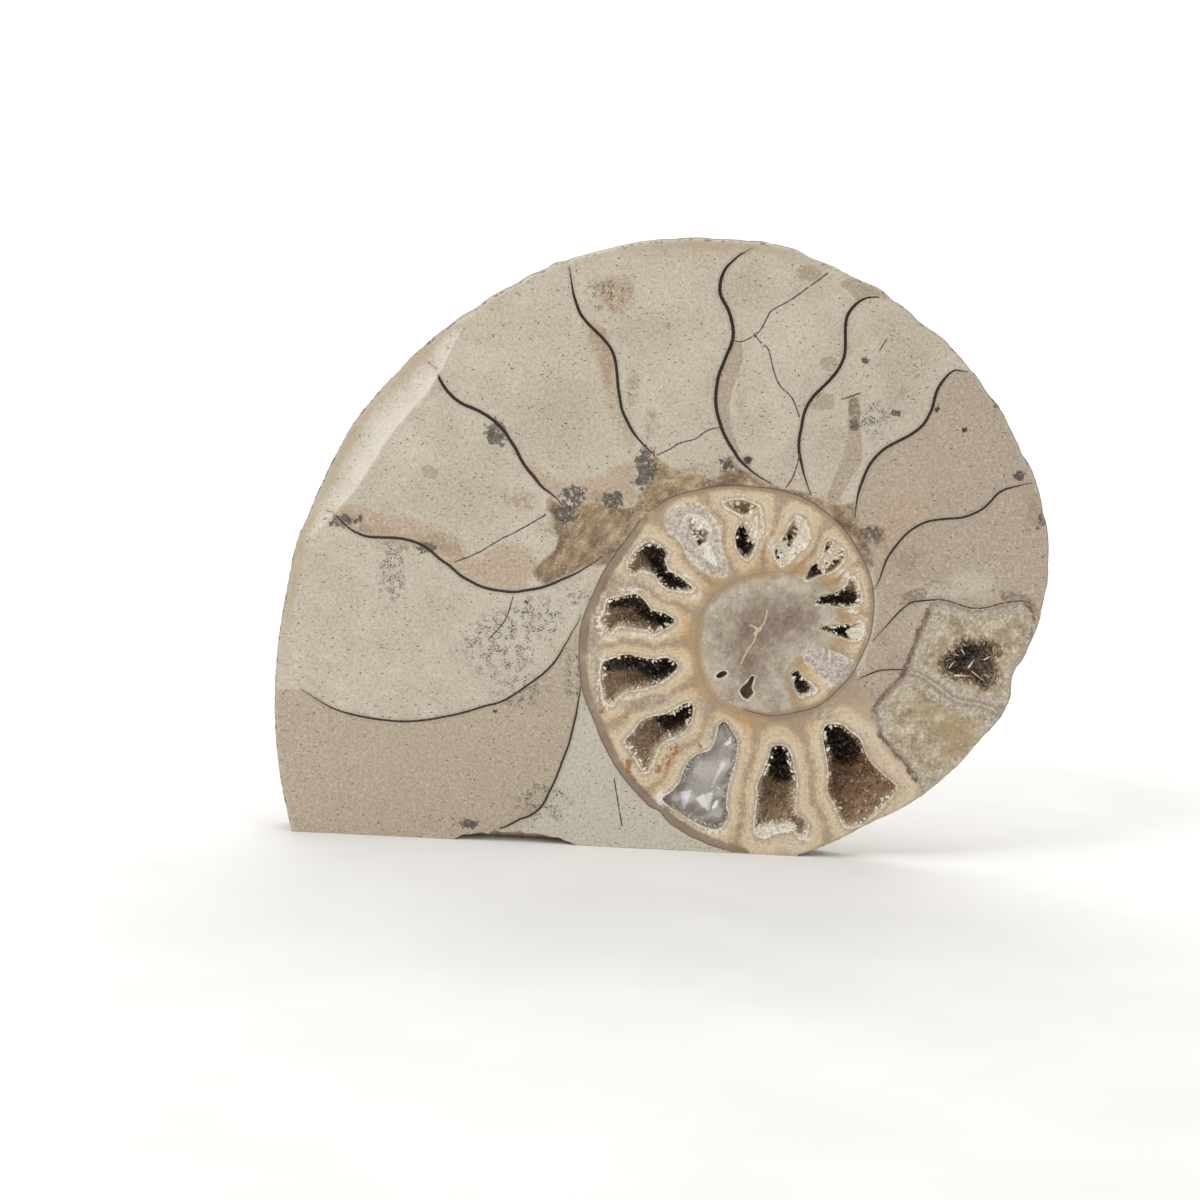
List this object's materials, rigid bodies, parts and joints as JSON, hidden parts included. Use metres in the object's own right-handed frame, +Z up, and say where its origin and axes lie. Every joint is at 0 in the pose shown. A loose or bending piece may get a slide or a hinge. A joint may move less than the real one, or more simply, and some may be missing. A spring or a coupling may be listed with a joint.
{
  "type": "polished hildoceras ammonite half",
  "caption": "Sawn and polished half of a fossil ammonite: flat face with septa and crystal-lined hollows, ribbed coil behind, standing on a sawn base.",
  "frame": {"origin": "under the middle of the half's bounding box, on the surface that it stands on", "axes": "+Z up, +X to the right along the polished face, +Y from the polished face toward the ribbed back"},
  "size_m": [0.192, 0.0324, 0.1541],
  "materials": {
    "stone": "polished limestone and calcite, natural ribbed surface behind",
    "crystal": "drusy calcite crystals",
    "clear_crystal": "clear grey calcite crystals"
  },
  "bodies": {
    "root": {"ammonite_half": "stone", "crystal_crust_01": "crystal", "crystal_crust_02": "crystal", "crystal_crust_03": "crystal", "crystal_crust_04": "crystal", "crystal_crust_05": "crystal", "crystal_crust_06": "crystal", "crystal_crust_07": "crystal", "crystal_crust_08": "crystal", "crystal_crust_09": "crystal", "crystal_crust_10": "crystal", "crystal_crust_11": "crystal", "crystal_crust_12": "clear_crystal", "crystal_crust_13": "crystal", "crystal_crust_14": "crystal", "crystal_crust_15": "crystal"}
  },
  "joints": []
}
